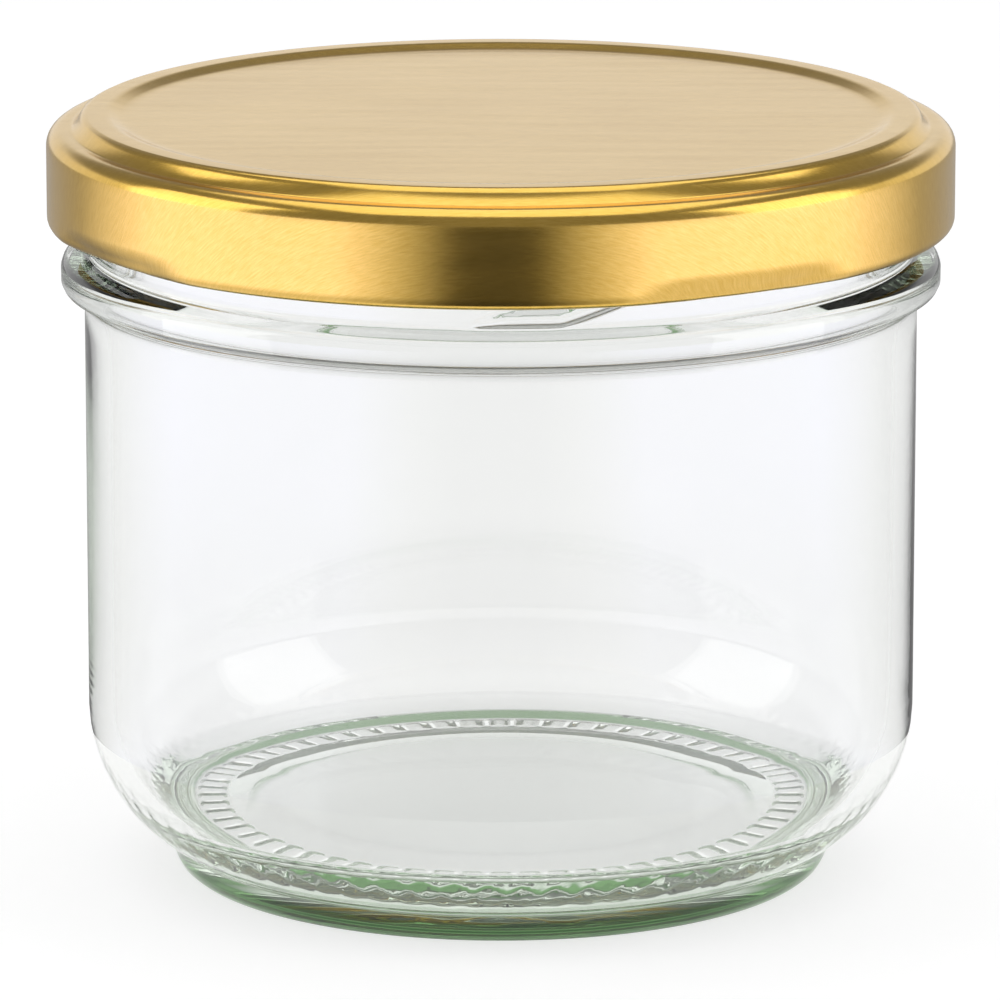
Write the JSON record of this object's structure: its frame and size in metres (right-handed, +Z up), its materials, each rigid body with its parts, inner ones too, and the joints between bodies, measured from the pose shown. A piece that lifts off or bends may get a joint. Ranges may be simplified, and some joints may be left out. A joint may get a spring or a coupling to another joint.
{
  "type": "preserving jar with twist-off lid",
  "caption": "Wide clear glass preserving jar with a gold lacquered twist-off lug lid that unscrews and lifts off.",
  "frame": {"origin": "centre of the ring that the jar stands on", "axes": "+Z up along the axis of the jar; the pictured side faces -Y"},
  "size_m": [0.0856, 0.0856, 0.0727],
  "materials": {
    "clear_glass": "clear flint glass with a faint green tint, fire polished",
    "gold_lacquered_tinplate": "transparent gold lacquer over brushed tinplate, satin",
    "sealing_compound": "matt off-white plastisol"
  },
  "bodies": {
    "jar": {"glass_jar": "clear_glass"},
    "liner": {"sealing_liner": "sealing_compound"},
    "cap": {"lug_cap": "gold_lacquered_tinplate"}
  },
  "joints": [
    {"name": "cap_lift", "type": "slide", "parent": "jar", "child": "liner", "axis": [0, 0, 1], "range_m": [0, 0.0109]},
    {"name": "cap_turn", "type": "hinge", "parent": "liner", "child": "cap", "pos_m": [0, 0, 0.067], "axis": [0, 0, 1], "range_deg": [0, 150]}
  ],
  "couplings": [
    {"joint": "cap_lift", "follows": "cap_turn", "m_per_rad": 0.004138}
  ]
}
